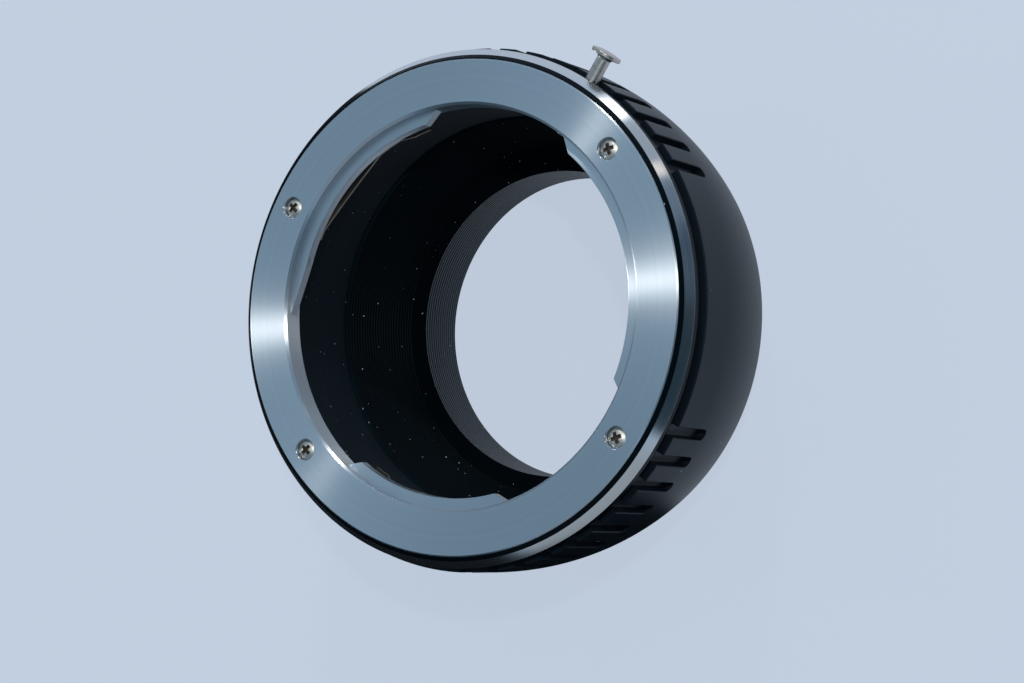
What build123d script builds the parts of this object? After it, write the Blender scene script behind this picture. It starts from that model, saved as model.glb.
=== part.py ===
from build123d import *
import os
from math import radians, sin

# Lens mount adapter: a turned barrel with a lens bayonet in front and a camera bayonet behind.
# The optical axis is Z, the lens side is up, and the origin is on the axis at the camera-side end.
# The release knob points along +Y. Angles run anticlockwise from +X as seen from the lens side.

# Overall lengths
flange_distance = 27.2  # lens flange to camera flange
spigot_depth = 4.9  # camera spigot below the camera flange

# Lens mount ring
throat_diameter = 47.6
throat_bevel = 0.3
plate_width = 5.4  # throat wall to the plate's rim
plate_thickness = 1.2
plate_edge_bevel = 0.15
skirt_wall = 1.6
skirt_depth = 2.9
lug_reach = 1.4
lug_setback = 1.1
lug_thickness = 1.2
lug_sink = 0.2  # lugs reach this far into the skirt
lug_roots = ((6.5, 88.0), (130.5, 214.0), (263.0, 320.0))  # start and end angles
lug_slants = ((3.1, 5.5), (5.0, 19.0), (3.8, 4.2))  # degrees lost towards the inner edge at the two ends

# Lug springs, bowed strips behind the lugs
strip_thickness = 0.25
strip_width = 1.25
strip_bow_height = 1.15
strip_curl_height = 1.2
strip_margins = (2.0, 6.0)  # degrees left bare at the two ends of a lug's inner edge
curl_end = 0.13  # the strip's stations are shares of its length
flat_start = 0.2
bow_start = 0.35
bow_end = 0.92
tab_stations = (0.275, 0.96)
tab_width = 1.4
tab_length = 1.2

# Screws of both rings
screw_diameter = 1.4
screw_length = 4.2
screw_head_diameter = 2.25
screw_head_height = 0.7
screw_head_dome = 0.35  # rounded part of the head's height
screw_recess_width = 0.32
screw_recess_length = 1.4
screw_recess_depth = 0.4
head_sink = 0.1  # screw heads lie this far below the plate
lens_screw_inset = 2.7  # throat wall to the screws' axes
lens_screw_angles = (73.3, 183.7, 251.6, 356.8)
camera_screw_inset = 2.87  # spigot wall to the screws' axes
camera_screw_angles = (20.0, 110.0, 200.0, 290.0)

# Front rim of the barrel
rim_drop = 0.1  # the rim lies below the lens flange
rim_land = 0.07
rim_bevel = 0.42
bright_bevel_width = 0.83
bright_bevel_depth = 1.05
neck_width = 0.9
groove_width = 1.2
groove_depth = 0.65

# Grip and crowned taper of the barrel
grip_height = 0.5  # grip above the neck
grip_straight = 5.3
grip_edge = 0.15
crown_drop = 2.3  # grip to the rear edge
crown_tapers = 4  # straight tapers that follow the crown
rear_bevel_height = 2.1
rear_face_lip = 0.3  # barrel left outside the camera flange
slot_groups = 3
slots_per_group = 10
slot_pitch = 6.8
slots_before_knob = 5
slot_width = 1.4
slot_depth = 1.0
slot_length = 7.7

# Inside of the barrel
chamber_step = 0.7  # chamber wall outside the throat wall
chamber_length = 14.2  # lens flange to the start of the baffle
baffle_step = 0.35  # mouth of the baffle inside the chamber wall
ledge_width = 2.3  # rear bore to the end of the baffle
ledge_thickness = 0.9  # floor left above the camera mount ring
rear_bore_diameter = 38.4
sleeve_wall = 0.6
sleeve_end = 0.1  # the sleeve stops short of the spigot's end

# Camera mount ring
camera_flange_width = 5.67  # spigot wall to the flange's rim
camera_flange_thickness = 1.5
camera_flange_bevel = 0.25
spigot_wall = 1.1
camera_lug_reach = 1.2
camera_lug_thickness = 1.4
camera_lug_end = 1.0  # spigot end to the lugs
camera_lug_angles = (70.0, 190.0, 310.0)
camera_lug_width = 52.0
lock_hole_width = 3.2
lock_hole_angle = 155.0

# Release knob, lock plunger and return spring
release_drop = 2.8  # lens flange to the axis of the plunger
knob_stem_diameter = 1.7
knob_head_diameter = 3.7
knob_head_thickness = 0.65
knob_head_crown = 0.2
knob_neck_flare = 0.28
knob_standoff = 3.9  # top of the knob above the neck
tip_diameter = 1.5
tip_reach = 0.4  # plunger tip inside the throat
collar_diameter = 2.3
collar_thickness = 0.6
rod_diameter = 0.9
rod_length = 2.4  # rod screwed into the knob
coil_wire = 0.24
coil_diameter = 2.4
coil_turns = 5
spring_seat_wall = 1.3  # barrel wall left outside the return spring

# Clearances
seat_clearance = 0.03
running_clearance = 0.04
thread_clearance = 0.01
head_clearance = 0.15
skirt_clearance = 0.05
strip_clearance = 0.1
tab_clearance = 0.15
spring_end_clearance = 0.02

# Heights and radii that several pieces share
lens_flange = spigot_depth + flange_distance
plate_seat = lens_flange - plate_thickness
skirt_end = lens_flange - skirt_depth
lug_top = lens_flange - lug_setback
lug_back = lug_top - lug_thickness
throat_radius = throat_diameter / 2
plate_radius = throat_radius + plate_width
lens_screw_circle = throat_diameter + 2 * lens_screw_inset
chamber_radius = throat_radius + chamber_step
skirt_radius = throat_radius + skirt_wall
lug_radius = throat_radius - lug_reach
seat_radius = plate_radius + seat_clearance
rim_top = lens_flange - rim_drop
bright_top = rim_top - rim_bevel
bright_end = bright_top - bright_bevel_depth
bright_radius = seat_radius + rim_land + rim_bevel
neck_radius = bright_radius + bright_bevel_width
neck_end = bright_end - neck_width
groove_radius = neck_radius - groove_depth
grip_top = neck_end - groove_width
grip_radius = neck_radius + grip_height
camera_seat = spigot_depth + camera_flange_thickness
rear_edge = camera_seat + rear_bevel_height
ledge = camera_seat + ledge_thickness
baffle_mouth = lens_flange - chamber_length
rear_bore_radius = rear_bore_diameter / 2
sleeve_radius = rear_bore_radius + sleeve_wall
ring_bore_radius = sleeve_radius + seat_clearance
spigot_radius = ring_bore_radius + spigot_wall
camera_lug_radius = spigot_radius + camera_lug_reach
camera_flange_radius = spigot_radius + camera_flange_width
camera_screw_circle = 2 * (spigot_radius + camera_screw_inset)
release_axis = lens_flange - release_drop
screw_head_floor = head_sink + screw_head_height
knob_direction = 90.0
spring_seat = neck_radius - spring_seat_wall
collar_outer = skirt_radius + skirt_clearance + collar_thickness
knob_top = neck_radius + knob_standoff
strip_outer = throat_radius - strip_clearance
strip_inner = strip_outer - strip_width
strip_top = lug_back - spring_end_clearance
strip_spans = [
    (root[0] + slant[0] + strip_margins[0], root[1] - slant[1] - strip_margins[1])
    for root, slant in zip(lug_roots, lug_slants)
]

os.makedirs("parts", exist_ok=True)


def arc_segment(inner, outer, span, slants=(0.0, 0.0)):
    """Face of a ring cut to a span of angles, its inner edge shorter by the slants at the two ends."""
    start, end = span
    with BuildSketch() as segment:
        with BuildLine():
            outside = CenterArc((0, 0), outer, start, end - start)
            inside = CenterArc((0, 0), inner, start + slants[0], end - start - sum(slants))
            Line(outside @ 0, inside @ 0)
            Line(outside @ 1, inside @ 1)
        make_face()
    return segment.sketch


def tab_angles(span):
    """Angles of the tabs of a lug spring that covers a span of angles."""
    return [span[0] + station * (span[1] - span[0]) for station in tab_stations]


def on_circle(diameter, angles, height, facing=1):
    """Planes round the optical axis, facing the lens side or, with -1, the camera side."""
    planes = []
    for angle in angles:
        outward = Vector(1, 0, 0).rotate(Axis.Z, angle)
        origin = outward * (diameter / 2) + Vector(0, 0, height)
        planes.append(Plane(origin=origin, x_dir=outward, z_dir=(0, 0, facing)))
    return planes


def radial_disc(diameter, start, end, mode=Mode.ADD):
    """Cylinder along the plunger's axis, between two distances from the optical axis."""
    with Locations(Plane(origin=(0, start, release_axis), z_dir=(0, 1, 0))):
        Cylinder(
            diameter / 2,
            end - start,
            align=(Align.CENTER, Align.CENTER, Align.MIN),
            mode=mode,
        )


# Barrel
with BuildPart() as barrel:
    with BuildSketch(Plane.XZ):
        with BuildLine():
            rear = Polyline(
                (rear_bore_radius, sleeve_end),
                (sleeve_radius, sleeve_end),
                (sleeve_radius, camera_seat),
                (camera_flange_radius + rear_face_lip, camera_seat),
                (grip_radius - crown_drop, rear_edge),
            )
            crown = TangentArc(
                (grip_radius, grip_top - grip_straight),
                rear @ 1,
                tangent=(0, -1),
                mode=Mode.PRIVATE,
            )
            Polyline(*[crown @ (taper / crown_tapers) for taper in range(crown_tapers + 1)])
            Polyline(
                crown @ 0,
                (grip_radius, grip_top - grip_edge),
                (grip_radius - grip_edge, grip_top),
                (groove_radius, grip_top),
                (groove_radius, neck_end),
                (neck_radius, neck_end),
                (neck_radius, bright_end),
                (bright_radius, bright_top),
                (bright_radius - rim_bevel, rim_top),
                (seat_radius, rim_top),
                (seat_radius, plate_seat),
                (skirt_radius + skirt_clearance, plate_seat),
                (skirt_radius + skirt_clearance, skirt_end - skirt_clearance),
                (chamber_radius, skirt_end - skirt_clearance),
                (chamber_radius, baffle_mouth),
                (chamber_radius - baffle_step, baffle_mouth),
                (rear_bore_radius + ledge_width, ledge),
                (rear_bore_radius, ledge),
                (rear_bore_radius, sleeve_end),
            )
        make_face()
    revolve(axis=Axis.Z)
    # grip slots, milled in from the front of the grip and round at their ends
    first_slot = knob_direction - (slots_per_group - 1 - slots_before_knob) * slot_pitch
    for group in range(slot_groups):
        with PolarLocations(
            grip_radius,
            slots_per_group,
            start_angle=first_slot + group * 360 / slot_groups,
            angular_range=(slots_per_group - 1) * slot_pitch,
            endpoint=True,
        ):
            with Locations((0, 0, grip_top - slot_length + slot_width / 2)):
                Box(
                    2 * slot_depth,
                    slot_width,
                    slot_length - slot_width / 2 + groove_width / 2,
                    align=(Align.CENTER, Align.CENTER, Align.MIN),
                    mode=Mode.SUBTRACT,
                )
                Cylinder(
                    slot_width / 2,
                    2 * slot_depth,
                    rotation=(0, 90, 0),
                    mode=Mode.SUBTRACT,
                )
    # tapped holes for the screws of both rings
    with Locations(*on_circle(lens_screw_circle, lens_screw_angles, plate_seat)):
        Hole(screw_diameter / 2 + thread_clearance, screw_length)
    with Locations(*on_circle(camera_screw_circle, camera_screw_angles, camera_seat, -1)):
        Hole(screw_diameter / 2 + thread_clearance, screw_length)
    # stepped hole for the plunger, its spring and the knob's stem
    radial_disc(coil_diameter + 2 * running_clearance, throat_radius, spring_seat, Mode.SUBTRACT)
    radial_disc(knob_stem_diameter + 2 * running_clearance, spring_seat, grip_radius, Mode.SUBTRACT)
barrel.part.label = "barrel"
export_step(barrel.part, "parts/barrel.step")

# Lens mount ring: plate, skirt and three lugs
with BuildPart() as lens_mount_ring:
    with BuildSketch(Plane.XZ):
        with BuildLine():
            Polyline(
                (plate_radius - plate_edge_bevel, lens_flange),
                (plate_radius, lens_flange - plate_edge_bevel),
                (plate_radius, plate_seat),
                (skirt_radius, plate_seat),
                (skirt_radius, skirt_end),
                (throat_radius, skirt_end),
                (throat_radius, lens_flange - throat_bevel),
                (throat_radius + throat_bevel, lens_flange),
                close=True,
            )
        make_face()
    revolve(axis=Axis.Z)
    for root, slant in zip(lug_roots, lug_slants):
        with BuildSketch(Plane.XY.offset(lug_back)):
            add(arc_segment(lug_radius, throat_radius + lug_sink, root, slant))
        extrude(amount=lug_thickness)
    # slots in the skirt for the tabs of the lug springs
    for span in strip_spans:
        for plane in on_circle(throat_diameter, tab_angles(span), skirt_end):
            with BuildSketch(plane):
                Rectangle(4 * skirt_wall, tab_width + 2 * tab_clearance)
        extrude(amount=lug_back - skirt_end, mode=Mode.SUBTRACT)
    # notch for the tip of the lock plunger
    radial_disc(tip_diameter + 2 * running_clearance, lug_radius, skirt_radius + skirt_wall, Mode.SUBTRACT)
    with Locations(*on_circle(lens_screw_circle, lens_screw_angles, lens_flange)):
        CounterBoreHole(
            screw_diameter / 2 + running_clearance,
            screw_head_diameter / 2 + head_clearance,
            screw_head_floor,
            plate_thickness,
        )
lens_mount_ring.part.label = "lens_mount_ring"
export_step(lens_mount_ring.part, "parts/lens_mount_ring.step")

# Screw with a domed head and a cross recess, its head standing on the XY plane
with BuildPart() as screw:
    with BuildSketch(Plane.XZ):
        with BuildLine():
            shank = Polyline(
                (0, screw_head_height),
                (0, -screw_length),
                (screw_diameter / 2, -screw_length),
                (screw_diameter / 2, 0),
                (screw_head_diameter / 2, 0),
                (screw_head_diameter / 2, screw_head_height - screw_head_dome),
            )
            TangentArc(shank @ 0, shank @ 1, tangent=(1, 0))
        make_face()
    revolve(axis=Axis.Z)
    with BuildSketch(Plane.XY.offset(screw_head_height)):
        Rectangle(screw_recess_length, screw_recess_width, rotation=45)
        Rectangle(screw_recess_width, screw_recess_length, rotation=45)
    extrude(amount=-screw_recess_depth, mode=Mode.SUBTRACT)

with BuildPart() as lens_ring_screws:
    with Locations(*on_circle(lens_screw_circle, lens_screw_angles, lens_flange - screw_head_floor)):
        add(screw.part)
lens_ring_screws.part.label = "lens_ring_screws"
export_step(lens_ring_screws.part, "parts/lens_ring_screws.step")

# Lug springs: strips bowed away from the backs of the lugs, with a curled end and two tabs
for number, span in enumerate(strip_spans, start=1):
    centre = sum(span) / 2
    chord_ends = [strip_outer * sin(radians(angle - centre)) for angle in span]
    start, curl, flat, bow, tail, end = [
        chord_ends[0] + station * (chord_ends[1] - chord_ends[0])
        for station in (0, curl_end, flat_start, bow_start, bow_end, 1)
    ]
    side_plane = Plane(
        origin=(0, 0, strip_top),
        x_dir=Vector(0, 1, 0).rotate(Axis.Z, centre),
        z_dir=Vector(1, 0, 0).rotate(Axis.Z, centre),
    )
    with BuildPart() as lug_spring:
        with BuildSketch(side_plane):
            with BuildLine():
                for side in (0, -strip_thickness):
                    curled = side - strip_curl_height
                    Polyline((start, curled), (curl, curled), (flat, side), (bow, side))
                    ThreePointArc((bow, side), ((bow + tail) / 2, side - strip_bow_height), (tail, side))
                    Line((tail, side), (end, side))
                Line((start, -strip_curl_height), (start, -strip_curl_height - strip_thickness))
                Line((end, 0), (end, -strip_thickness))
            make_face()
        extrude(amount=throat_radius)
        with BuildSketch(Plane.XY.offset(strip_top - 2 * strip_curl_height)):
            add(arc_segment(strip_inner, strip_outer, span))
        extrude(amount=3 * strip_curl_height, mode=Mode.INTERSECT)
        for plane in on_circle(2 * strip_outer, tab_angles(span), strip_top):
            with BuildSketch(plane):
                Rectangle(2 * tab_length, tab_width)
        extrude(amount=-strip_thickness)
    lug_spring.part.label = f"lug_spring_{number}"
    export_step(lug_spring.part, f"parts/lug_spring_{number}.step")

# Camera mount ring: flange, spigot and three lugs
with BuildPart() as camera_mount_ring:
    with BuildSketch(Plane.XZ):
        with BuildLine():
            Polyline(
                (ring_bore_radius, 0),
                (spigot_radius, 0),
                (spigot_radius, spigot_depth),
                (camera_flange_radius - camera_flange_bevel, spigot_depth),
                (camera_flange_radius, spigot_depth + camera_flange_bevel),
                (camera_flange_radius, camera_seat),
                (ring_bore_radius, camera_seat),
                close=True,
            )
        make_face()
    revolve(axis=Axis.Z)
    for centre in camera_lug_angles:
        span = (centre - camera_lug_width / 2, centre + camera_lug_width / 2)
        with BuildSketch(Plane.XY.offset(camera_lug_end)):
            add(arc_segment(spigot_radius - spigot_wall / 2, camera_lug_radius, span))
        extrude(amount=camera_lug_thickness)
    with Locations(*on_circle(camera_screw_circle, (lock_hole_angle,), spigot_depth, -1)):
        Hole(lock_hole_width / 2, camera_flange_thickness)
    with Locations(*on_circle(camera_screw_circle, camera_screw_angles, spigot_depth, -1)):
        CounterBoreHole(
            screw_diameter / 2 + running_clearance,
            screw_head_diameter / 2 + head_clearance,
            screw_head_floor,
            camera_flange_thickness,
        )
camera_mount_ring.part.label = "camera_mount_ring"
export_step(camera_mount_ring.part, "parts/camera_mount_ring.step")

with BuildPart() as camera_ring_screws:
    camera_screw_seat = spigot_depth + screw_head_floor
    with Locations(*on_circle(camera_screw_circle, camera_screw_angles, camera_screw_seat, -1)):
        add(screw.part)
camera_ring_screws.part.label = "camera_ring_screws"
export_step(camera_ring_screws.part, "parts/camera_ring_screws.step")

# Lock plunger: tip, collar and the rod that the knob is screwed on
with BuildPart() as lock_plunger:
    radial_disc(tip_diameter, throat_radius - tip_reach, collar_outer)
    radial_disc(collar_diameter, collar_outer - collar_thickness, collar_outer)
    radial_disc(rod_diameter, collar_outer, collar_outer + rod_length)
lock_plunger.part.label = "lock_plunger"
export_step(lock_plunger.part, "parts/lock_plunger.step")

# Release knob: a nail-shaped pull with its rod hole
with BuildPart() as release_knob:
    head_under = knob_top - knob_head_thickness
    with BuildSketch(Plane((0, 0, release_axis), x_dir=(1, 0, 0), z_dir=(0, 0, 1))):
        with BuildLine():
            outline = Polyline(
                (0, knob_top),
                (0, collar_outer),
                (knob_stem_diameter / 2, collar_outer),
                (knob_stem_diameter / 2, head_under - knob_neck_flare),
                (knob_stem_diameter / 2 + knob_neck_flare, head_under),
                (knob_head_diameter / 2, head_under),
                (knob_head_diameter / 2, knob_top - knob_head_crown),
            )
            TangentArc(outline @ 0, outline @ 1, tangent=(1, 0))
        make_face()
    revolve(axis=Axis((0, 0, release_axis), (0, 1, 0)))
    rod_hole = rod_diameter + 2 * thread_clearance
    radial_disc(rod_hole, collar_outer, collar_outer + rod_length, Mode.SUBTRACT)
release_knob.part.label = "release_knob"
export_step(release_knob.part, "parts/release_knob.step")

# Return spring of the plunger
with BuildPart() as return_spring:
    coil_start = collar_outer + coil_wire / 2 + spring_end_clearance
    coil_end = spring_seat - coil_wire / 2 - spring_end_clearance
    with BuildLine() as coil:
        Helix(
            (coil_end - coil_start) / coil_turns,
            coil_end - coil_start,
            (coil_diameter - coil_wire) / 2,
            center=(0, coil_start, release_axis),
            direction=(0, 1, 0),
        )
    outward = coil.line @ 0 - Vector(0, coil_start, release_axis)
    with BuildSketch(Plane(coil.line @ 0, x_dir=outward, z_dir=coil.line % 0)):
        Rectangle(coil_wire, coil_wire)
    sweep(path=coil.line, is_frenet=True)
return_spring.part.label = "return_spring"
export_step(return_spring.part, "parts/return_spring.step")
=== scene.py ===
from math import atan2, cos, degrees, hypot, pi, radians, sin, sqrt, tan

import bmesh
import bpy
from mathutils import Matrix, Vector


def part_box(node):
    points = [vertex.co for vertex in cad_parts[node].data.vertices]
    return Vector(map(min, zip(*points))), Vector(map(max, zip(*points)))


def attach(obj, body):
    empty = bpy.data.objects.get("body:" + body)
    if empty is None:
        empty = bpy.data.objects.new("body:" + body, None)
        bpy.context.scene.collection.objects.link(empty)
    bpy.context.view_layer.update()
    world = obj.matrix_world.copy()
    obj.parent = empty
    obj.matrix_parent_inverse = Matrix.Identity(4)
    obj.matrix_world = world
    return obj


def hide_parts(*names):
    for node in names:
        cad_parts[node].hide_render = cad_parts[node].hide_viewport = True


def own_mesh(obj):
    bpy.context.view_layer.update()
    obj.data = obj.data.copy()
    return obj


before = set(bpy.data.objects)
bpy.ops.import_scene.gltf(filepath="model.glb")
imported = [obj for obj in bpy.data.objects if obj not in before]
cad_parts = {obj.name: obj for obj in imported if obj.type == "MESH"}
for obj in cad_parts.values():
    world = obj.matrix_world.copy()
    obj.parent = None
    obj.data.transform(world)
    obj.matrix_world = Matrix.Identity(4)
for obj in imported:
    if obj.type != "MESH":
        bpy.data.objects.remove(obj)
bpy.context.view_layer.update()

# The looks of a lens mount adapter. Sizes are millimetres until a mesh is written, in metres.
MM = 0.001
SEGMENTS = 320  # round the optical axis
FINE_SEGMENTS = 96  # round the small turned parts
ARC_STEPS = 16  # along the barrel's crown and round the end of a grip slot
DOME_STEPS = 12  # over the head of a screw
COIL_STEPS = 40  # in one turn of the spring
WIRE_SIDES = 14  # round the wire of the spring
SHARP_ANGLE = radians(32)
HAIR, THIN, NEAR, WIDE = 0.02, 0.05, 0.1, 0.2  # slack where one finish meets another
WELD_DISTANCE = 1e-7  # metres
SHORTEST_EDGE = 1e-8  # metres
FLAT_CORNER = radians(86)  # half the angle of a corner that is too flat to round
CORNER_SHARE = 0.4  # most of a side that one rounded corner takes up
SUPPORT_SHARE = 0.25  # how far past a rounded corner its last point stands, by the corner's size


def corners(node):
    """Lowest and highest corner of a frame node, in millimetres."""
    low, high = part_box(node)
    return [round(value / MM, 3) for value in low], [round(value / MM, 3) for value in high]


barrel_low, barrel_high = corners("barrel")
lens_ring_low, lens_ring_high = corners("lens_mount_ring")
_, camera_ring_high = corners("camera_mount_ring")
knob_low, knob_high = corners("release_knob")
plunger_low, plunger_high = corners("lock_plunger")
spring_low, spring_high = corners("return_spring")

# Lens mount ring
lens_flange = lens_ring_high[2]
plate_radius = lens_ring_high[0]
throat_radius = plate_radius - 5.4
plate_seat = lens_flange - 1.2
skirt_end = lens_ring_low[2]
skirt_radius = throat_radius + 1.6
plate_edge_bevel = 0.15
throat_bevel = 0.3
lug_radius = throat_radius - 1.4
lug_top = lens_flange - 1.1
lug_back = lug_top - 1.2
lug_root = throat_radius + 0.2
lug_roots = ((6.5, 88.0), (130.5, 214.0), (263.0, 320.0))
lug_slants = ((3.1, 5.5), (5.0, 19.0), (3.8, 4.2))
lug_edge = 0.12
strip_margins = (2.0, 6.0)
tab_stations = (0.275, 0.96)
tab_slot_width = 1.7
tab_slot_reach = (-2.2, 3.2)  # from the wall of the throat
tab_slot_overrun = 0.5

# Screws of both rings
screw_radius = 0.7
screw_length = 4.2
screw_clearance = 0.04
thread_clearance = 0.01
head_radius = 1.125
head_height = 0.7
head_dome = 0.35
dome_radius = (head_radius ** 2 + head_dome ** 2) / (2 * head_dome)
recess_width = 0.46
recess_length = 1.5
recess_depth = 0.55
# Each level of a recess: height from the top of the head, and shares of the width and the length
recess_levels = ((0.2, 1.15, 1.1), (-0.1, 1.0, 0.95), (-recess_depth, 0.8, 0.45))
head_bore_radius = head_radius + 0.15
head_bore_depth = head_height + 0.1
head_bore_edge = 0.07
plain_hole_depth = 2.0
lens_screw_circle = throat_radius + 2.7
lens_screw_angles = (73.3, 183.7, 251.6, 356.8)
camera_screw_angles = (20.0, 110.0, 200.0, 290.0)
screw_turns = (20.0, 28.0, 50.0, 10.0)

# Barrel outside
pin_angle = 90.0
seat_radius = plate_radius + 0.03
rim_top = lens_flange - 0.1
rim_radius = seat_radius + 0.07
bright_radius = rim_radius + 0.42
bright_top = rim_top - 0.42
neck_radius = bright_radius + 0.83
bright_end = bright_top - 1.05
neck_end = bright_end - 0.9
groove_radius = neck_radius - 0.65
grip_top = neck_end - 1.2
skin_gap = 0.002  # keeps the turned skin inside the facets of the solid
grip_radius = min(barrel_high[0], -barrel_low[0], -barrel_low[1]) - skin_gap
grip_edge = 0.15
crown_start = grip_top - 5.3
rear_edge_radius = grip_radius - 2.3
rear_face_radius = camera_ring_high[0] + 0.3
camera_seat = camera_ring_high[2]
rear_edge = camera_seat + 2.1
slot_half_width = 0.7
slot_depth = 1.0
slot_length = 7.7
slot_fillet = 0.12
slot_flare = 0.1
slot_overrun = 0.6  # past the top of the grip
slot_mouth = 0.5  # how far a slot's tool stands out of the grip
slot_pitch = 6.8
slots_per_group = 10
slot_groups = 3
slots_before_pin = 4
first_slot = pin_angle - slots_before_pin * slot_pitch

# Barrel inside
skirt_bore = skirt_radius + 0.05
skirt_floor = skirt_end - 0.05
chamber_radius = throat_radius + 0.7
baffle_mouth = lens_flange - 14.2
baffle_mouth_radius = chamber_radius - 0.35
rear_bore_radius = 19.2
ledge = camera_seat + 0.9
ledge_radius = rear_bore_radius + 2.3
sleeve_radius = rear_bore_radius + 0.6
sleeve_end = barrel_low[2]
baffle_ridges = 24
baffle_ridge_depth = 0.12
bore_ridges = 14
bore_ridge_depth = 0.05
ridge_points = ((0.1, 0.0), (0.35, 1.0), (0.75, 1.0), (0.95, 0.0))  # shares of the pitch and of the depth

# Camera mount ring
flange_radius = camera_ring_high[0]
spigot_depth = camera_seat - 1.5
ring_bore = sleeve_radius + 0.03
spigot_radius = ring_bore + 1.1
flange_bevel = 0.25
camera_lug_root = spigot_radius - 0.5
camera_lug_radius = spigot_radius + 1.2
camera_lug_end = 1.0
camera_lug_thickness = 1.4
camera_lug_angles = (70.0, 190.0, 310.0)
camera_lug_width = 52.0
camera_screw_circle = spigot_radius + 2.87
lock_hole_radius = 1.6
lock_hole_edge = 0.1
lock_hole_angle = 155.0

# Release pin
pin_height = (knob_low[2] + knob_high[2]) / 2
knob_top = knob_high[1]
knob_start = knob_low[1]
knob_head_radius = knob_high[0]
knob_head_under = knob_top - 0.65
knob_head_side = knob_top - 0.2
knob_crown_radius = knob_head_radius * 0.6
knob_crown = knob_top - 0.06
knob_flare = 0.28  # where the stem widens into the head
stem_radius = 0.85
rod_radius = 0.45
rod_hole_radius = 0.46
rod_end = plunger_high[1]
collar_radius = plunger_high[0]
collar_start = knob_start - 0.6
tip_radius = 0.75
tip_start = plunger_low[1]
spring_seat = spring_high[1] + 0.02
coil_wire = 0.24
coil_turns = 5
stem_hole_radius = stem_radius + 0.04
stem_hole_reach = 2  # inwards and outwards of the neck
coil_hole_radius = spring_high[0] + 0.04
notch_radius = tip_radius + 0.04


# Outlines and meshes

def rounded(points, radius, steps=4):
    """Closed outline with its corners rounded.

    A third number on a point is the corner's own radius, and 0 keeps it sharp.
    """
    outline = []
    count = len(points)
    for index, corner in enumerate(points):
        own = corner[2] if len(corner) == 3 else radius
        here = Vector(corner[:2])
        before = Vector(points[index - 1][:2]) - here
        after = Vector(points[(index + 1) % count][:2]) - here
        half = before.angle(after, pi) / 2
        if own == 0 or half > FLAT_CORNER:
            outline.append(here)
            continue
        reach = min(own / tan(half), CORNER_SHARE * before.length, CORNER_SHARE * after.length)
        size = reach * tan(half)
        centre = here + (before.normalized() + after.normalized()).normalized() * (size / sin(half))
        start = here + before.normalized() * reach
        end = here + after.normalized() * reach
        support = SUPPORT_SHARE * reach
        outline.append(start + before.normalized() * support)
        first = start - centre
        sweep = first.angle_signed(end - centre)
        for step in range(steps + 1):
            turned = first.copy()
            turned.rotate(Matrix.Rotation(-sweep * step / steps, 2))
            outline.append(centre + turned)
        outline.append(end + after.normalized() * support)
    return outline


def ridged(start, end, count, depth):
    """Points of a row of turned grooves along a line, each as deep as given, away from the axis."""
    start, end = Vector(start), Vector(end)
    points = []
    for ridge in range(count):
        for share, sink in ridge_points:
            place = start.lerp(end, (ridge + share) / count)
            points.append((place.x + sink * depth, place.y, 0))
    return points


def new_object(name, vertices, faces):
    """Object at the origin with a clean mesh, from places in millimetres."""
    mesh = bpy.data.meshes.new(name)
    mesh.from_pydata([Vector(place) * MM for place in vertices], [], faces)
    shape = bmesh.new()
    shape.from_mesh(mesh)
    bmesh.ops.remove_doubles(shape, verts=shape.verts, dist=WELD_DISTANCE)
    bmesh.ops.dissolve_degenerate(shape, edges=shape.edges, dist=SHORTEST_EDGE)
    bmesh.ops.recalc_face_normals(shape, faces=shape.faces)
    shape.to_mesh(mesh)
    shape.free()
    piece = bpy.data.objects.new(name, mesh)
    bpy.context.scene.collection.objects.link(piece)
    return piece


def lathe(name, outline, segments=SEGMENTS, along_pin=False):
    """Piece turned from a closed outline of radius and height, round the optical axis or the pin's own."""
    vertices = []
    for step in range(segments):
        turn = 2 * pi * step / segments
        for radius, height in outline:
            if along_pin:
                vertices.append((radius * cos(turn), height, pin_height + radius * sin(turn)))
            else:
                vertices.append((radius * cos(turn), radius * sin(turn), height))
    size = len(outline)
    faces = []
    for step in range(segments):
        near, far = step * size, (step + 1) % segments * size
        for index in range(size):
            following = (index + 1) % size
            faces.append((near + index, far + index, far + following, near + following))
    return new_object(name, vertices, faces)


def lofted(name, loops):
    """Closed solid through a row of loops with as many points each."""
    size = len(loops[0])
    vertices = [place for loop in loops for place in loop]
    faces = [tuple(range(size)), tuple(range(len(vertices) - size, len(vertices)))]
    for layer in range(len(loops) - 1):
        near, far = layer * size, (layer + 1) * size
        for index in range(size):
            following = (index + 1) % size
            faces.append((near + index, near + following, far + following, far + index))
    return new_object(name, vertices, faces)


def flat_place(radius, turn):
    """Place in the plane of a ring, from its radius and its angle in degrees."""
    return Vector((radius * cos(radians(turn)), radius * sin(radians(turn))))


def angle_on_line(radius, outer, inner):
    """Angle where the straight line between two places, given as radius and angle, crosses a radius."""
    first = flat_place(*outer)
    along = flat_place(*inner) - first
    slope = first.dot(along)
    rest = max(0.0, slope ** 2 - along.length_squared * (first.length_squared - radius ** 2))
    place = first + along * (-slope - sqrt(rest)) / along.length_squared
    return outer[1] + degrees(place.angle_signed(first))


def arc_block(name, outline, span, slants, full_radius, deep_radius):
    """Lug: an outline of radius and height swept through a span of angles, with straight slanting ends."""
    start, end = span
    steps = int(end - start)
    ends = []
    for radius, _ in outline:
        first, last = start, end
        if slants[0]:
            first = angle_on_line(radius, (full_radius, start), (deep_radius, start + slants[0]))
        if slants[1]:
            last = angle_on_line(radius, (full_radius, end), (deep_radius, end - slants[1]))
        ends.append((first, last))
    loops = []
    for step in range(steps + 1):
        loop = []
        for (radius, height), (first, last) in zip(outline, ends):
            turn = radians(first + (last - first) * step / steps)
            loop.append((radius * cos(turn), radius * sin(turn), height))
        loops.append(loop)
    return lofted(name, loops)


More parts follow.
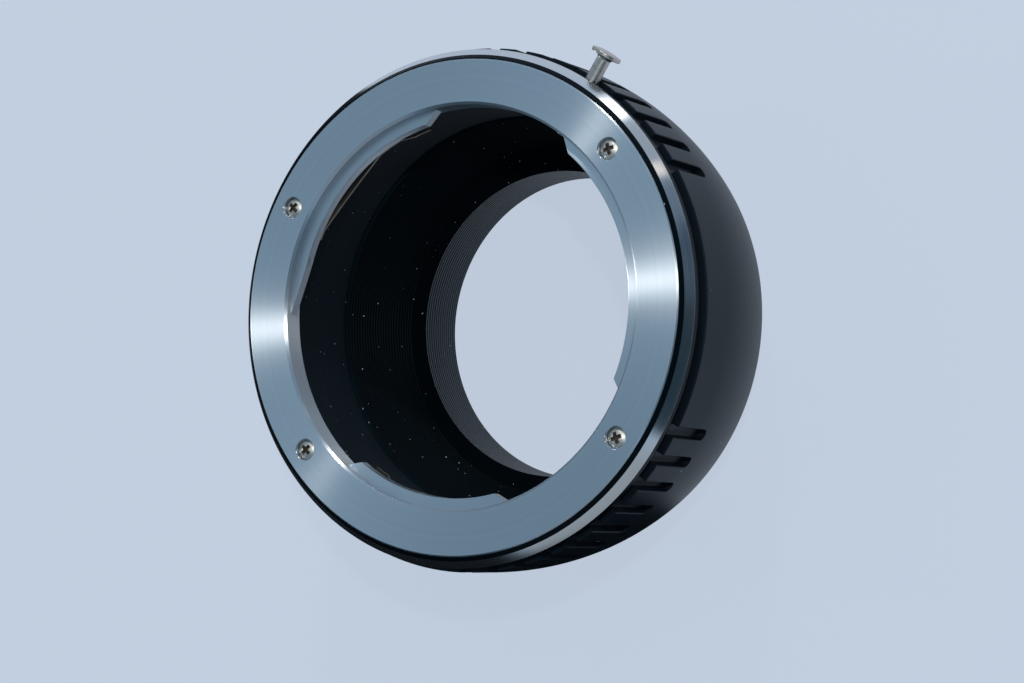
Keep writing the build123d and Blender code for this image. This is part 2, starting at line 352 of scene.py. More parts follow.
def places(name, radius, angles, height):
    """Points round the optical axis where a tool cuts or a screw sits."""
    spots = [(radius * cos(radians(turn)), radius * sin(radians(turn)), height) for turn in angles]
    mesh = bpy.data.meshes.new(name)
    mesh.from_pydata([Vector(spot) * MM for spot in spots], [], [])
    marker = bpy.data.objects.new(name, mesh)
    bpy.context.scene.collection.objects.link(marker)
    return marker


def middle():
    """The one place on the optical axis, for tools that are made where they cut."""
    return places("middle", 0.0, (0.0,), 0.0)


# Geometry node trees

def new_tree(name, inputs):
    """Empty geometry node tree with named inputs."""
    tree = bpy.data.node_groups.new(name, "GeometryNodeTree")
    for label, kind in inputs:
        tree.interface.new_socket(label, in_out="INPUT", socket_type="NodeSocket" + kind)
    tree.interface.new_socket("Geometry", in_out="OUTPUT", socket_type="NodeSocketGeometry")
    entry = tree.nodes.new("NodeGroupInput")
    result = tree.nodes.new("NodeGroupOutput")
    return tree, entry, result


def instances_at_places(tree, entry):
    """Nodes that stand a tool on every place, its X axis pointing away from the optical axis."""
    make, join = tree.nodes.new, tree.links.new
    tool = make("GeometryNodeObjectInfo")
    spots = make("GeometryNodeObjectInfo")
    position = make("GeometryNodeInputPosition")
    parts = make("ShaderNodeSeparateXYZ")
    turn = make("ShaderNodeMath")
    turn.operation = "ARCTAN2"
    own_turn = make("GeometryNodeInputNamedAttribute")
    own_turn.inputs["Name"].default_value = "own_turn"
    rotation = make("ShaderNodeCombineXYZ")
    spread = make("GeometryNodeInstanceOnPoints")
    spin = make("GeometryNodeRotateInstances")
    own_rotation = make("ShaderNodeCombineXYZ")
    real = make("GeometryNodeRealizeInstances")
    join(entry.outputs["Tool"], tool.inputs["Object"])
    join(entry.outputs["Places"], spots.inputs["Object"])
    join(position.outputs[0], parts.inputs[0])
    join(parts.outputs["Y"], turn.inputs[0])
    join(parts.outputs["X"], turn.inputs[1])
    join(turn.outputs[0], rotation.inputs["Z"])
    join(spots.outputs["Geometry"], spread.inputs["Points"])
    join(tool.outputs["Geometry"], spread.inputs["Instance"])
    join(rotation.outputs[0], spread.inputs["Rotation"])
    join(own_turn.outputs["Attribute"], own_rotation.inputs["Z"])
    join(spread.outputs[0], spin.inputs["Instances"])
    join(own_rotation.outputs[0], spin.inputs["Rotation"])
    join(spin.outputs[0], real.inputs[0])
    return real


def finish_tree(tree, entry, result, geometry):
    """Last nodes of a tree: real geometry with its material."""
    paint = tree.nodes.new("GeometryNodeSetMaterial")
    tree.links.new(geometry, paint.inputs["Geometry"])
    tree.links.new(entry.outputs["Material"], paint.inputs["Material"])
    tree.links.new(paint.outputs[0], result.inputs[0])


def cutting_tree():
    """Tree that cuts a tool out of a blank at every place, or joins it on."""
    inputs = (
        ("Blank", "Geometry"), ("Tool", "Object"), ("Places", "Object"),
        ("Join", "Bool"), ("Material", "Material"),
    )
    tree, entry, result = new_tree("milled_at_places", inputs)
    tools = instances_at_places(tree, entry)
    choose = tree.nodes.new("GeometryNodeSwitch")
    choose.input_type = "GEOMETRY"
    for operation, socket in (("DIFFERENCE", "False"), ("UNION", "True")):
        mill = tree.nodes.new("GeometryNodeMeshBoolean")
        mill.operation = operation
        mill.solver = "MANIFOLD"
        blank_socket = mill.inputs["Mesh 1"] if operation == "DIFFERENCE" else mill.inputs["Mesh 2"]
        tree.links.new(entry.outputs["Blank"], blank_socket)
        tree.links.new(tools.outputs[0], mill.inputs["Mesh 2"])
        tree.links.new(mill.outputs["Mesh"], choose.inputs[socket])
    tree.links.new(entry.outputs["Join"], choose.inputs["Switch"])
    finish_tree(tree, entry, result, choose.outputs[0])
    return tree


def setting_tree():
    """Tree that sets a finished part at every place."""
    inputs = (("Blank", "Geometry"), ("Tool", "Object"), ("Places", "Object"), ("Material", "Material"))
    tree, entry, result = new_tree("set_at_places", inputs)
    finish_tree(tree, entry, result, instances_at_places(tree, entry).outputs[0])
    return tree


def coil_tree():
    """Tree that winds round wire into a coil along +Y."""
    inputs = (
        ("Blank", "Geometry"), ("Turns", "Float"), ("Coil Radius", "Float"), ("Wire Radius", "Float"),
        ("Length", "Float"), ("Start", "Vector"), ("Material", "Material"),
    )
    tree, entry, result = new_tree("wound_coil", inputs)
    make, join = tree.nodes.new, tree.links.new
    helix = make("GeometryNodeCurveSpiral")
    helix.inputs["Resolution"].default_value = COIL_STEPS
    section = make("GeometryNodeCurvePrimitiveCircle")
    section.inputs["Resolution"].default_value = WIRE_SIDES
    wire = make("GeometryNodeCurveToMesh")
    wire.inputs["Fill Caps"].default_value = True
    place = make("GeometryNodeTransform")
    place.inputs["Rotation"].default_value = (-pi / 2, 0, 0)
    real = make("GeometryNodeRealizeInstances")
    join(entry.outputs["Turns"], helix.inputs["Rotations"])
    join(entry.outputs["Coil Radius"], helix.inputs["Start Radius"])
    join(entry.outputs["Coil Radius"], helix.inputs["End Radius"])
    join(entry.outputs["Length"], helix.inputs["Height"])
    join(entry.outputs["Wire Radius"], section.inputs["Radius"])
    join(helix.outputs[0], wire.inputs["Curve"])
    join(section.outputs[0], wire.inputs["Profile Curve"])
    join(wire.outputs[0], place.inputs["Geometry"])
    join(entry.outputs["Start"], place.inputs["Translation"])
    join(place.outputs[0], real.inputs[0])
    finish_tree(tree, entry, result, real.outputs[0])
    return tree


def apply_tree(piece, tree, **values):
    """Runs a tree on a piece once and keeps its result as the piece's plain mesh."""
    modifier = piece.modifiers.new(tree.name, "NODES")
    modifier.node_group = tree
    sockets = {item.name: item.identifier for item in tree.interface.items_tree if item.in_out == "INPUT"}
    for label, value in values.items():
        modifier[sockets[label.replace("_", " ").title()]] = value
    bpy.context.view_layer.update()
    evaluated = piece.evaluated_get(bpy.context.evaluated_depsgraph_get())
    made = bpy.data.meshes.new_from_object(evaluated)
    piece.modifiers.remove(modifier)
    worn_out = piece.data
    piece.data = made
    bpy.data.meshes.remove(worn_out)
    made.name = piece.name


def discard(*helpers):
    """Takes tools and markers out of the scene."""
    for helper in helpers:
        mesh = helper.data
        bpy.data.objects.remove(helper)
        bpy.data.meshes.remove(mesh)


def mill(piece, tool, marker, join=False):
    """Cuts one tool out of a piece at its places, or joins it on, and puts the tool away."""
    apply_tree(piece, milled_at_places, tool=tool, places=marker, join=join)
    discard(tool, marker)


def weld(mesh):
    """Joins points that milling leaves in one place, with faces of no area between them."""
    shape = bmesh.new()
    shape.from_mesh(mesh)
    bmesh.ops.remove_doubles(shape, verts=shape.verts, dist=WELD_DISTANCE)
    shape.to_mesh(mesh)
    shape.free()


def shade(piece, *materials, pick=None):
    """Smooth faces with sharp edges kept, and materials by face where a rule picks them."""
    mesh = piece.data
    weld(mesh)
    mesh.materials.clear()
    for material in materials:
        mesh.materials.append(material)
    for face in mesh.polygons:
        face.material_index = materials.index(pick(face.center / MM, face.normal)) if pick else 0
    mesh.shade_smooth()
    mesh.set_sharp_from_angle(angle=SHARP_ANGLE)


def settle(piece, body, slot, *nodes):
    """A finished piece rides on its body and stands for its frame nodes."""
    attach(piece, body)
    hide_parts(*nodes)


milled_at_places = cutting_tree()
set_at_places = setting_tree()
wound_coil = coil_tree()


# Shader node groups

MIX_FIRST, MIX_SECOND, MIX_RESULT = 6, 7, 2  # colour sockets of a Mix node


def new_effect(name, inputs, outputs):
    """Empty shader node group with named inputs and outputs."""
    group = bpy.data.node_groups.new(name, "ShaderNodeTree")
    for label, kind, value in inputs:
        socket = group.interface.new_socket(label, in_out="INPUT", socket_type="NodeSocket" + kind)
        if value is not None:
            socket.default_value = value
    for label, kind in outputs:
        group.interface.new_socket(label, in_out="OUTPUT", socket_type="NodeSocket" + kind)
    return group, group.nodes.new("NodeGroupInput"), group.nodes.new("NodeGroupOutput")


def math_node(tree, operation, first, second=None):
    """Math node on sockets or plain numbers, with its result socket returned."""
    node = tree.nodes.new("ShaderNodeMath")
    node.operation = operation
    for index, value in enumerate((first, second)):
        if value is None:
            continue
        if isinstance(value, (int, float)):
            node.inputs[index].default_value = value
        else:
            tree.links.new(value, node.inputs[index])
    return node.outputs[0]


def turning_lines_effect():
    """Fine lines left by the lathe, running round an axis: values that change only across them."""
    group, entry, result = new_effect(
        "turning_lines",
        (("Across", "Float", 0.0), ("Along", "Float", 0.0), ("Lines Per Metre", "Float", 20000.0)),
        (("Lines", "Float"), ("Bands", "Float")),
    )
    where = math_node(group, "ADD", entry.outputs["Across"], entry.outputs["Along"])
    for label, share, detail in (("Lines", 1.0, 3.0), ("Bands", 0.12, 1.0)):
        noise = group.nodes.new("ShaderNodeTexNoise")
        noise.noise_dimensions = "1D"
        noise.inputs["Scale"].default_value = 1.0
        noise.inputs["Detail"].default_value = detail
        scaled = math_node(group, "MULTIPLY", where, entry.outputs["Lines Per Metre"])
        group.links.new(math_node(group, "MULTIPLY", scaled, share), noise.inputs["W"])
        group.links.new(noise.outputs["Fac"], result.inputs[label])
    return group


def fine_grain_effect():
    """Even grain of a blasted or plated surface, with slow clouds of tone beneath it."""
    group, entry, result = new_effect(
        "fine_grain",
        (("Place", "Vector", None), ("Grain Scale", "Float", 9000.0), ("Cloud Scale", "Float", 120.0)),
        (("Grain", "Float"), ("Clouds", "Float")),
    )
    for label, scale, detail in (("Grain", "Grain Scale", 2.0), ("Clouds", "Cloud Scale", 4.0)):
        noise = group.nodes.new("ShaderNodeTexNoise")
        noise.inputs["Detail"].default_value = detail
        group.links.new(entry.outputs["Place"], noise.inputs["Vector"])
        group.links.new(entry.outputs[scale], noise.inputs["Scale"])
        group.links.new(noise.outputs["Fac"], result.inputs[label])
    return group


def dust_effect():
    """Scattered specks of dust: a mask that is 1 on a speck."""
    group, entry, result = new_effect(
        "dust_specks",
        (
            ("Place", "Vector", None), ("Scale", "Float", 900.0),
            ("Share", "Float", 0.05), ("Size", "Float", 0.12),
        ),
        (("Specks", "Float"),),
    )
    cells = group.nodes.new("ShaderNodeTexVoronoi")
    group.links.new(entry.outputs["Place"], cells.inputs["Vector"])
    group.links.new(entry.outputs["Scale"], cells.inputs["Scale"])
    tone = group.nodes.new("ShaderNodeSeparateColor")
    group.links.new(cells.outputs["Color"], tone.inputs[0])
    chosen = math_node(group, "LESS_THAN", tone.outputs[0], entry.outputs["Share"])
    reach = math_node(group, "MULTIPLY", entry.outputs["Size"], tone.outputs[1])
    near = math_node(group, "LESS_THAN", cells.outputs["Distance"], reach)
    group.links.new(math_node(group, "MULTIPLY", chosen, near), result.inputs["Specks"])
    return group


turning_lines = turning_lines_effect()
fine_grain = fine_grain_effect()
dust_specks = dust_effect()


# Materials

BLACK_GLOSS_TINT = (0.58, 0.82, 1.0)
BLACK_ROUGHNESS_SPREAD = (-0.08, 0.1)  # that the grain adds to a black's own roughness
DUST_ON_BLACK = (0.45, 0.47, 0.5)
DUST_ON_CHROME = (0.8, 0.8, 0.78)
ACROSS_LINES = 0.25  # of a full turn, from along the turning lines to across them


class Finish:
    """A material under construction: its Principled shader and helpers to wire effects into it."""

    def __init__(self, name, colour, metallic, roughness, specular=0.5, anisotropic=0.0):
        self.material = bpy.data.materials.new(name)
        self.material.use_nodes = True
        self.tree = self.material.node_tree
        self.shader = self.tree.nodes["Principled BSDF"]
        self.shader.inputs["Base Color"].default_value = (*colour, 1)
        self.shader.inputs["Metallic"].default_value = metallic
        self.shader.inputs["Roughness"].default_value = roughness
        self.shader.inputs["Specular IOR Level"].default_value = specular
        self.shader.inputs["Anisotropic"].default_value = anisotropic
        self.where = self.tree.nodes.new("ShaderNodeTexCoord").outputs["Object"]

    def effect(self, group, **values):
        """Places a node group with its own values, and returns its outputs."""
        node = self.tree.nodes.new("ShaderNodeGroup")
        node.node_tree = group
        for label, value in values.items():
            socket = node.inputs[label.replace("_", " ").title()]
            if isinstance(value, (int, float)):
                socket.default_value = value
            else:
                self.tree.links.new(value, socket)
        return node.outputs

    def scaled(self, value, low, high):
        """A value from 0 to 1 spread between two limits."""
        node = self.tree.nodes.new("ShaderNodeMapRange")
        node.inputs["To Min"].default_value = low
        node.inputs["To Max"].default_value = high
        self.tree.links.new(value, node.inputs["Value"])
        return node.outputs["Result"]

    def mixed(self, mask, first, second):
        """Colour between two colours, by a mask. A colour is a socket or three numbers."""
        node = self.tree.nodes.new("ShaderNodeMix")
        node.data_type = "RGBA"
        self.tree.links.new(mask, node.inputs["Factor"])
        for socket, colour in ((node.inputs[MIX_FIRST], first), (node.inputs[MIX_SECOND], second)):
            if isinstance(colour, tuple):
                socket.default_value = (*colour, 1)
            else:
                self.tree.links.new(colour, socket)
        return node.outputs[MIX_RESULT]

    def around_axis(self, pin=False):
        """Distance from the turning axis, and place along it."""
        shift = self.tree.nodes.new("ShaderNodeVectorMath")
        shift.operation = "SUBTRACT"
        shift.inputs[1].default_value = (0, 0, pin_height * MM if pin else 0)
        self.tree.links.new(self.where, shift.inputs[0])
        split = self.tree.nodes.new("ShaderNodeSeparateXYZ")
        self.tree.links.new(shift.outputs[0], split.inputs[0])
        first, second, along = ("X", "Z", "Y") if pin else ("X", "Y", "Z")
        squares = [math_node(self.tree, "POWER", split.outputs[axis], 2) for axis in (first, second)]
        distance = math_node(self.tree, "SQRT", math_node(self.tree, "ADD", *squares))
        return distance, split.outputs[along]

    def round_tangent(self, axis="Z"):
        """Fans the gloss out across the turning lines."""
        self.shader.inputs["Anisotropic Rotation"].default_value = ACROSS_LINES
        tangent = self.tree.nodes.new("ShaderNodeTangent")
        tangent.direction_type = "RADIAL"
        tangent.axis = axis
        self.tree.links.new(tangent.outputs[0], self.shader.inputs["Tangent"])

    def feed(self, label, value):
        """Wires a value into the shader."""
        self.tree.links.new(value, self.shader.inputs[label])

    def bump(self, height, depth, strength):
        """Fine relief, its depth in metres."""
        node = self.tree.nodes.new("ShaderNodeBump")
        node.inputs["Strength"].default_value = strength
        node.inputs["Distance"].default_value = depth
        self.tree.links.new(height, node.inputs["Height"])
        self.feed("Normal", node.outputs[0])


def black_finish(name, dark, light, roughness, specular, dust_share):
    """Black of the barrel: blasted grain and slow clouds over faint turning lines, with specks of dust."""
    finish = Finish(name, dark, metallic=0.0, roughness=roughness, specular=specular)
    finish.shader.inputs["Specular Tint"].default_value = (*BLACK_GLOSS_TINT, 1)
    distance, height = finish.around_axis()
    lines = finish.effect(turning_lines, across=distance, along=height, lines_per_metre=9000.0)
    grain = finish.effect(fine_grain, place=finish.where, grain_scale=14000.0, cloud_scale=160.0)
    dust = finish.effect(dust_specks, place=finish.where, scale=1100.0, share=dust_share, size=0.11)
    streaks = math_node(finish.tree, "MULTIPLY", lines["Bands"], grain["Clouds"])
    tone = finish.mixed(streaks, dark, light)
    finish.feed("Base Color", finish.mixed(dust["Specks"], tone, DUST_ON_BLACK))
    low, high = [roughness + spread for spread in BLACK_ROUGHNESS_SPREAD]
    finish.feed("Roughness", finish.scaled(grain["Grain"], low, high))
    finish.bump(grain["Grain"], depth=4e-6, strength=0.5)
    return finish.material


def bright_cut():
    """Bare bevel cut with a diamond tool: bright, with faint lines round it."""
    finish = Finish("bright_cut", (0.67, 0.69, 0.71), metallic=1.0, roughness=0.15, anisotropic=0.85)
    finish.round_tangent()
    distance, height = finish.around_axis()
    lines = finish.effect(turning_lines, across=distance, along=height, lines_per_metre=26000.0)
    finish.feed("Base Color", finish.mixed(lines["Bands"], (0.62, 0.645, 0.67), (0.72, 0.735, 0.75)))
    finish.feed("Roughness", finish.scaled(lines["Lines"], 0.12, 0.18))
    finish.bump(lines["Lines"], depth=1.5e-6, strength=0.3)
    return finish.material


def turned_chrome():
    """Plated bayonet rings, turned before plating, so that light fans out across the lines."""
    finish = Finish("turned_chrome", (0.62, 0.66, 0.7), metallic=1.0, roughness=0.295, anisotropic=1.0)
    finish.round_tangent()
    distance, height = finish.around_axis()
    lines = finish.effect(turning_lines, across=distance, along=height, lines_per_metre=16000.0)
    grain = finish.effect(fine_grain, place=finish.where, grain_scale=6000.0, cloud_scale=90.0)
    plated = finish.mixed(lines["Bands"], (0.58, 0.625, 0.67), (0.66, 0.7, 0.735))
    dust = finish.effect(dust_specks, place=finish.where, scale=420.0, share=0.03, size=0.1)
    finish.feed("Base Color", finish.mixed(dust["Specks"], plated, DUST_ON_CHROME))
    finish.feed("Roughness", finish.scaled(grain["Clouds"], 0.28, 0.31))
    finish.bump(lines["Lines"], depth=1.2e-6, strength=0.3)
    return finish.material


def screw_nickel():
    """Nickel plated screws, dull and slightly warm, scuffed by the driver."""
    finish = Finish("screw_nickel", (0.5, 0.45, 0.4), metallic=1.0, roughness=0.42)
    grain = finish.effect(fine_grain, place=finish.where, grain_scale=5200.0, cloud_scale=900.0)
    finish.feed("Base Color", finish.mixed(grain["Clouds"], (0.54, 0.5, 0.44), (0.78, 0.74, 0.67)))
    finish.feed("Roughness", finish.scaled(grain["Grain"], 0.36, 0.52))
    finish.bump(grain["Clouds"], depth=1.2e-5, strength=0.25)
    return finish.material


def screw_recess_brown():
    """Driver's recess, dark with old grease and dust."""
    finish = Finish("screw_recess", (0.03, 0.022, 0.016), metallic=0.0, roughness=0.6, specular=0.2)
    grain = finish.effect(fine_grain, place=finish.where, grain_scale=6200.0, cloud_scale=1600.0)
    finish.feed("Base Color", finish.mixed(grain["Clouds"], (0.035, 0.025, 0.017), (0.13, 0.1, 0.075)))
    return finish.material


def spring_bronze():
    """Rolled bronze strip with dull streaks."""
    finish = Finish("spring_bronze", (0.5, 0.42, 0.31), metallic=1.0, roughness=0.36)
    grain = finish.effect(fine_grain, place=finish.where, grain_scale=4200.0, cloud_scale=420.0)
    finish.feed("Base Color", finish.mixed(grain["Clouds"], (0.17, 0.15, 0.12), (0.4, 0.36, 0.29)))
    finish.feed("Roughness", finish.scaled(grain["Grain"], 0.28, 0.46))
    finish.bump(grain["Grain"], depth=4e-6, strength=0.3)
    return finish.material


def turned_steel():
    """Bright turned steel of the release pin, with lathe lines round its own axis."""
    finish = Finish("turned_steel", (0.54, 0.5, 0.46), metallic=1.0, roughness=0.3, anisotropic=0.4)
    finish.round_tangent("Y")
    distance, length = finish.around_axis(pin=True)
    lines = finish.effect(turning_lines, across=distance, along=length, lines_per_metre=14000.0)
    finish.feed("Base Color", finish.mixed(lines["Bands"], (0.42, 0.38, 0.345), (0.62, 0.575, 0.535)))
    finish.feed("Roughness", finish.scaled(lines["Lines"], 0.28, 0.4))
    finish.bump(lines["Lines"], depth=4e-6, strength=0.4)
    return finish.material


def spring_wire():
    """Drawn steel wire of the return spring."""
    finish = Finish("spring_wire", (0.52, 0.51, 0.49), metallic=1.0, roughness=0.3)
    grain = finish.effect(fine_grain, place=finish.where, grain_scale=8000.0, cloud_scale=1500.0)
    finish.feed("Base Color", finish.mixed(grain["Clouds"], (0.42, 0.41, 0.39), (0.62, 0.61, 0.59)))
    finish.feed("Roughness", finish.scaled(grain["Grain"], 0.22, 0.4))
    return finish.material


black = black_finish(
    "satin_black", (0.005, 0.0085, 0.0125), (0.012, 0.019, 0.027),
    roughness=0.38, specular=0.12, dust_share=0.08,
)
# Darker copy of the satin black for the rim, the neck and the groove: painted shade, not a finish of its
# own.
edge_black = black_finish(
    "edge_black", (0.0008, 0.003, 0.005), (0.002, 0.0055, 0.0085),
    roughness=0.34, specular=0.09, dust_share=0.1,
)
chamber_black = black_finish(
    "chamber_black", (0.0025, 0.007, 0.0105), (0.0065, 0.017, 0.0245),
    roughness=0.5, specular=0.09, dust_share=0.5,
)
baffle_black = black_finish(
    "baffle_black", (0.0008, 0.002, 0.003), (0.0025, 0.006, 0.009),
    roughness=0.5, specular=0.05, dust_share=0.6,
)
bore_black = black_finish(
    "bore_black", (0.003, 0.004, 0.0055), (0.008, 0.0105, 0.0135),
    roughness=0.29, specular=0.3, dust_share=0.5,
)
bright = bright_cut()
chrome = turned_chrome()
nickel = screw_nickel()
recess_brown = screw_recess_brown()
bronze = spring_bronze()
steel = turned_steel()
wire_steel = spring_wire()


# Tools that the pieces are cut with, each with its X axis pointing outwards

def slot_tool():
    """Milled grip slot with a round end, a small fillet at its floor and a flared mouth."""
    top = slot_length - slot_half_width + slot_overrun
    fillet_middle = 0.3 * slot_fillet

    def level(depth, half_width):
        """Outline of the slot at one depth."""
        arc = [radians(180 + 180 * step / ARC_STEPS) for step in range(ARC_STEPS + 1)]
        round_end = [(depth, half_width * cos(turn), half_width * sin(turn)) for turn in arc]
        return [(depth, -half_width, top), *round_end, (depth, half_width, top)]

    return lofted("slot_tool", [
        level(-slot_depth, slot_half_width - slot_fillet),
        level(-slot_depth + fillet_middle, slot_half_width - fillet_middle),
        level(-slot_depth + slot_fillet, slot_half_width),
        level(-slot_flare, slot_half_width),
        level(slot_mouth, slot_half_width + slot_flare + slot_mouth),
    ])


def bore_tool(name, outline):
    """Round tool along +Z from an outline that starts and ends on its axis."""
    return lathe(name, [Vector(point) for point in outline], FINE_SEGMENTS)


def counterbore_tool(facing):
    """Screw hole with a counterbore and a broken edge, cut from the side that it faces."""
    hole_radius = screw_radius + screw_clearance
    overrun = 1
    outline = [
        (0, overrun),
        (head_bore_radius + head_bore_edge + overrun, overrun),
        (head_bore_radius, -head_bore_edge),
        (head_bore_radius, -head_bore_depth),
        (hole_radius, -head_bore_depth),
        (hole_radius, -plain_hole_depth),
        (0, -plain_hole_depth),
    ]
    return bore_tool("counterbore_tool", [(radius, facing * height) for radius, height in outline])


def tapped_hole_tool(facing):
    """Hole for the thread of a screw, cut from the side that it faces."""
    hole_radius = screw_radius + thread_clearance
    overrun = 0.5
    outline = [(0, overrun), (hole_radius, overrun), (hole_radius, -screw_length), (0, -screw_length)]
    return bore_tool("tapped_hole_tool", [(radius, facing * height) for radius, height in outline])


def lock_hole_tool():
    """Blind hole with a broken edge, cut from the camera's side."""
    overrun, depth = 1, 2
    return bore_tool("lock_hole_tool", [
        (0, -overrun),
        (lock_hole_radius + lock_hole_edge + overrun, -overrun),
        (lock_hole_radius, lock_hole_edge),
        (lock_hole_radius, depth),
        (0, depth),
    ])


def radial_tool(radius, start, end):
    """Round tool that lies along its X axis."""
    turns = [2 * pi * step / FINE_SEGMENTS for step in range(FINE_SEGMENTS)]
    loops = [[(reach, radius * cos(turn), radius * sin(turn)) for turn in turns] for reach in (start, end)]
    return lofted("radial_tool", loops)


def block_tool(inner, outer, half_width, low, high):
    """Straight-sided tool for the tab slots."""
    sides = [(inner, -half_width), (outer, -half_width), (outer, half_width), (inner, half_width)]
    return lofted("block_tool", [[(x, y, z) for x, y in sides] for z in (low, high)])


# Barrel

def crown_points():
    """Arc from the straight grip to the rear edge, upright where it starts."""
    drop = grip_radius - rear_edge_radius
    length = crown_start - rear_edge
    radius = (drop ** 2 + length ** 2) / (2 * drop)
    end = atan2(length, radius - drop)
    points = []
    for step in range(1, ARC_STEPS + 1):
        turn = end * (1 - step / ARC_STEPS)
        points.append((grip_radius - radius + radius * cos(turn), crown_start - radius * sin(turn), 0))
    return points


def finish_and_shade_of_barrel(place, normal):
    """The finish of a face of the barrel, with painted shade on the rim, the neck and the groove, from
    where it is and which way it looks.
    """
    radius = hypot(place.x, place.y)
    if bright_radius - HAIR < radius < neck_radius + HAIR and bright_end < place.z < bright_top:
        return bright
    # Rim, neck and groove get the darker black, which is painted shade.
    if radius > seat_radius - THIN and place.z > grip_top + HAIR:
        return edge_black
    inward = normal.x * place.x + normal.y * place.y < 0
    if radius < rear_bore_radius + NEAR and inward:
        return bore_black
    if place.z < ledge - NEAR or radius > skirt_bore + WIDE:
        return black
    if hypot(radius - ledge_radius, place.z - ledge) < NEAR:
        return chamber_black
    return chamber_black if place.z > baffle_mouth - HAIR else baffle_black


def make_barrel():
    """The turned barrel, from its rim to its crown outside and from its seat to its rear bore inside."""
    baffle_start = (baffle_mouth_radius, baffle_mouth)
    baffle_end = (ledge_radius, ledge)
    bore_start = (rear_bore_radius, ledge)
    bore_end = (rear_bore_radius, sleeve_end)
    outline = rounded([
        (*bore_end, 0.1),
        (sleeve_radius, sleeve_end, 0.1),
        (sleeve_radius, camera_seat, 0),
        (rear_face_radius, camera_seat),
        (rear_edge_radius, rear_edge, 0.3),
        *crown_points(),
        (grip_radius, grip_top, grip_edge),
        (groove_radius, grip_top, 0.08),
        (groove_radius, neck_end, 0.08),
        (neck_radius, neck_end, 0.07),
        (neck_radius, bright_end, 0.03),
        (bright_radius, bright_top, 0.03),
        (rim_radius, rim_top, 0.02),
        (seat_radius, rim_top, 0.02),
        (seat_radius, plate_seat, 0),
        (skirt_bore, plate_seat, 0),
        (skirt_bore, skirt_floor, 0),
        (chamber_radius, skirt_floor, 0.03),
        (chamber_radius, baffle_mouth, 0.03),
        (*baffle_start, 0.05),
        *ridged(baffle_start, baffle_end, baffle_ridges, baffle_ridge_depth),
        (*baffle_end, 0.05),
        (*bore_start, 0.08),
        *ridged(bore_start, bore_end, bore_ridges, bore_ridge_depth),
    ], 0.08)
    barrel = lathe("barrel_shell", outline)
    slot_angles = []
    for group in range(slot_groups):
        for slot in range(slots_per_group):
            slot_angles.append(first_slot + group * 360 / slot_groups + slot * slot_pitch)
    slot_height = grip_top - slot_length + slot_half_width
    slots = places("slot_places", grip_radius, slot_angles, slot_height)
    mill(barrel, slot_tool(), slots)
    stem = places("stem_place", neck_radius, (pin_angle,), pin_height)
    mill(barrel, radial_tool(stem_hole_radius, -stem_hole_reach, stem_hole_reach), stem)
    coil = places("coil_place", neck_radius, (pin_angle,), pin_height)
    coil_reach = (throat_radius - neck_radius, spring_seat - neck_radius)
    mill(barrel, radial_tool(coil_hole_radius, *coil_reach), coil)
    lens_holes = places("lens_holes", lens_screw_circle, lens_screw_angles, plate_seat)
    mill(barrel, tapped_hole_tool(1), lens_holes)
    camera_holes = places("camera_holes", camera_screw_circle, camera_screw_angles, camera_seat)
    mill(barrel, tapped_hole_tool(-1), camera_holes)
    shade(
        barrel, black, bright, chamber_black, baffle_black, bore_black, edge_black, pick=finish_and_shade_of_barrel,
    )
    settle(barrel, "adapter", "barrel_black", "barrel")


# Bayonet rings

def make_lens_ring():
    """Plate and skirt with three lugs, screw holes, tab slots and the notch for the plunger."""
    ring = lathe("lens_bayonet_ring", rounded([
        (plate_radius - plate_edge_bevel, lens_flange, 0.03),
        (plate_radius, lens_flange - plate_edge_bevel, 0.03),
        (plate_radius, plate_seat),
        (skirt_radius, plate_seat, 0),
        (skirt_radius, skirt_end),
        (throat_radius, skirt_end),
        (throat_radius, lens_flange - throat_bevel, 0.04),
        (throat_radius + throat_bevel, lens_flange, 0.04),
    ], 0.08))
    lug_outline = rounded([
        (lug_radius, lug_top),
        (lug_root, lug_top, 0),
        (lug_root, lug_back, 0),
        (lug_radius, lug_back),
    ], lug_edge)
    tab_angles = []
    for root, slants in zip(lug_roots, lug_slants):
        mill(ring, arc_block("lug", lug_outline, root, slants, lug_root, lug_radius), middle(), join=True)
        strip_start = root[0] + slants[0] + strip_margins[0]
        strip_end = root[1] - slants[1] - strip_margins[1]
        tab_angles.extend(strip_start + station * (strip_end - strip_start) for station in tab_stations)
    tab_slot = block_tool(*tab_slot_reach, tab_slot_width / 2, -tab_slot_overrun, lug_back - skirt_end)
    mill(ring, tab_slot, places("tab_places", throat_radius, tab_angles, skirt_end))
    notch = places("notch_place", throat_radius, (pin_angle,), pin_height)
    mill(ring, radial_tool(notch_radius, lug_radius - throat_radius, tab_slot_reach[1]), notch)
    screw_holes = places("lens_screw_places", lens_screw_circle, lens_screw_angles, lens_flange)
    mill(ring, counterbore_tool(1), screw_holes)
    shade(ring, chrome)
    settle(ring, "adapter", "mount_bright", "lens_mount_ring")


